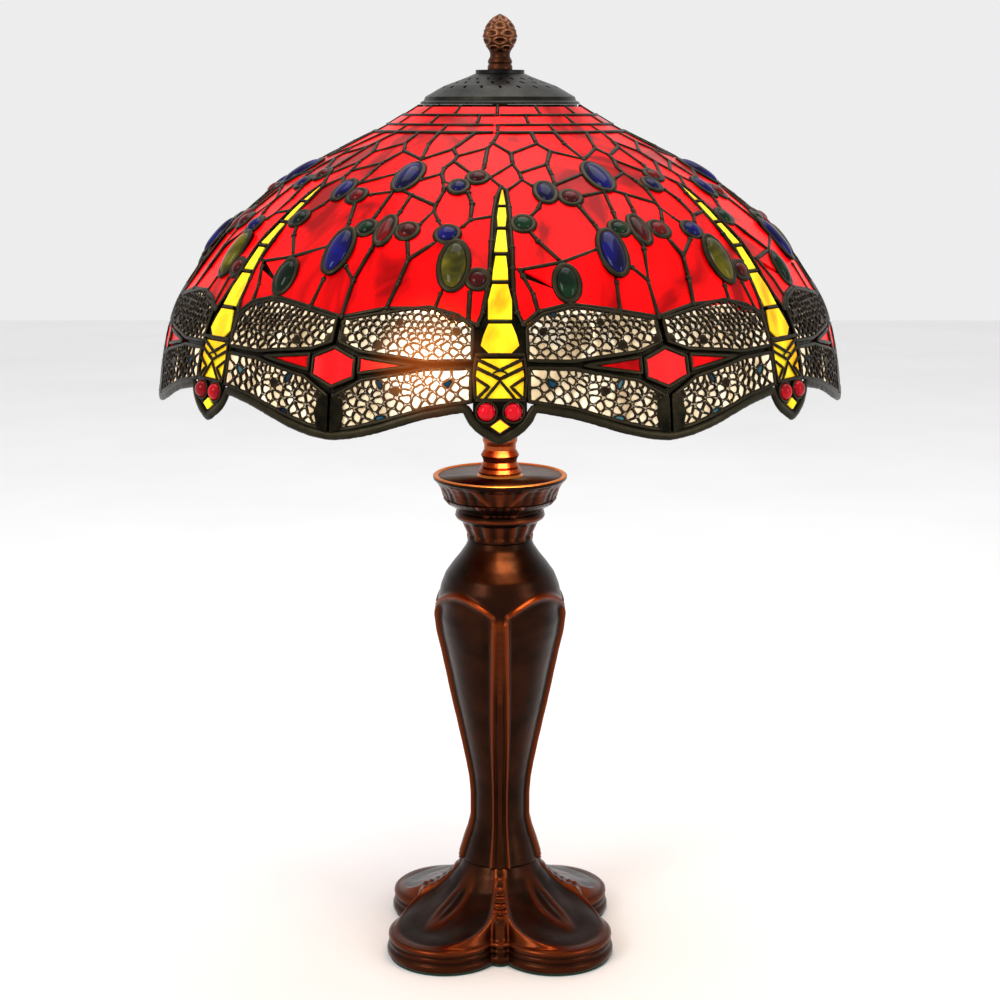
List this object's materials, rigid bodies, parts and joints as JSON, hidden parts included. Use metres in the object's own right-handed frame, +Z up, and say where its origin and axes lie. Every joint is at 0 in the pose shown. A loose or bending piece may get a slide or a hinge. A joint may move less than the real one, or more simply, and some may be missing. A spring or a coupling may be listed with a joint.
{
  "type": "leaded glass table lamp",
  "caption": "Domed leaded-glass shade with dragonflies on a cast bronze column with a four-lobed foot.",
  "frame": {"origin": "centre of the underside of the foot", "axes": "+Z up along the column, -Y is the front"},
  "size_m": [0.4592, 0.4634, 0.6464],
  "materials": {
    "felt": "felt",
    "steel": "zinc plated",
    "iron": "as cast",
    "bronze": "dark brown patina",
    "bronze_light": "copper-orange rubbed patina",
    "copper": "satin copper patina",
    "brass": "plain",
    "rubber": "matt",
    "porcelain": "glazed",
    "bulb_glass": "frosted",
    "bulb_cap": "plain",
    "pewter": "black-green patina",
    "solder": "dark green-bronze patina",
    "red_glass": "wispy red",
    "yellow_glass": "streaky yellow",
    "cream_glass": "cream",
    "blue_jewel": "polished",
    "green_jewel": "polished",
    "amber_jewel": "polished",
    "red_jewel": "polished",
    "finial_bronze": "brown patina"
  },
  "bodies": {
    "stand": {"felt_pad": "felt", "cover_plate": "steel", "weight": "iron", "foot": "bronze", "cord_bushing": "rubber", "lower_washer": "steel", "lower_nut": "brass", "column": "bronze", "sepals": "bronze_light", "ribs": "bronze_light", "capital": "bronze", "top_plate": "copper", "plate_collar": "copper", "stem": "copper", "riser": "brass", "riser_nut": "brass", "cluster": "brass", "socket_shells": "brass", "socket_liners": "porcelain", "socket_contacts": "brass", "seat_nut": "brass", "stud": "brass"},
    "seat": {"shade_seat": "brass"},
    "shade": {"cap": "pewter", "cap_ring": "solder", "crown_glass": "red_glass", "crown_cames": "solder", "field_glass": "red_glass", "field_cames": "solder", "tail_glass": "yellow_glass", "thorax_glass": "yellow_glass", "wing_glass_upper": "cream_glass", "wing_glass_lower": "cream_glass", "filigree_upper": "solder", "filigree_lower": "solder", "filigree_thorax": "solder", "head_plates": "solder", "eyes": "red_jewel", "head_diamonds": "yellow_glass", "triangles": "red_glass", "hexagons": "red_glass", "jewels_blue": "blue_jewel", "jewels_green": "green_jewel", "jewels_amber": "amber_jewel", "jewels_red": "red_jewel", "rim_wire": "solder"},
    "bulb_left": {"bulb_left_glass": "bulb_glass", "bulb_left_cap": "bulb_cap"},
    "bulb_right": {"bulb_right_glass": "bulb_glass", "bulb_right_cap": "bulb_cap"},
    "washer": {"finial_washer": "pewter"},
    "finial_knob": {"finial": "finial_bronze"}
  },
  "joints": [
    {"name": "shade_swivel", "type": "hinge", "parent": "stand", "child": "seat", "pos_m": [0, 0, 0.604], "axis": [0, 0, 1], "continuous": true},
    {"name": "shade_lift", "type": "slide", "parent": "seat", "child": "shade", "axis": [0, 0, 1], "range_m": [0, 0.3]},
    {"name": "finial_rise", "type": "slide", "parent": "shade", "child": "washer", "axis": [0, 0, 1], "range_m": [0, 0.015]},
    {"name": "finial_turn", "type": "hinge", "parent": "washer", "child": "finial_knob", "pos_m": [0, 0, 0.615], "axis": [0, 0, 1], "range_deg": [0, 5741]},
    {"name": "bulb_left_unscrew", "type": "slide", "parent": "stand", "child": "bulb_left", "axis": [-0.5, -0.866, 0], "range_m": [0, 0.03]},
    {"name": "bulb_right_unscrew", "type": "slide", "parent": "stand", "child": "bulb_right", "axis": [0.5, 0.866, 0], "range_m": [0, 0.03]}
  ],
  "couplings": [
    {"joint": "finial_turn", "follows": "finial_rise", "rad_per_m": 6679}
  ]
}
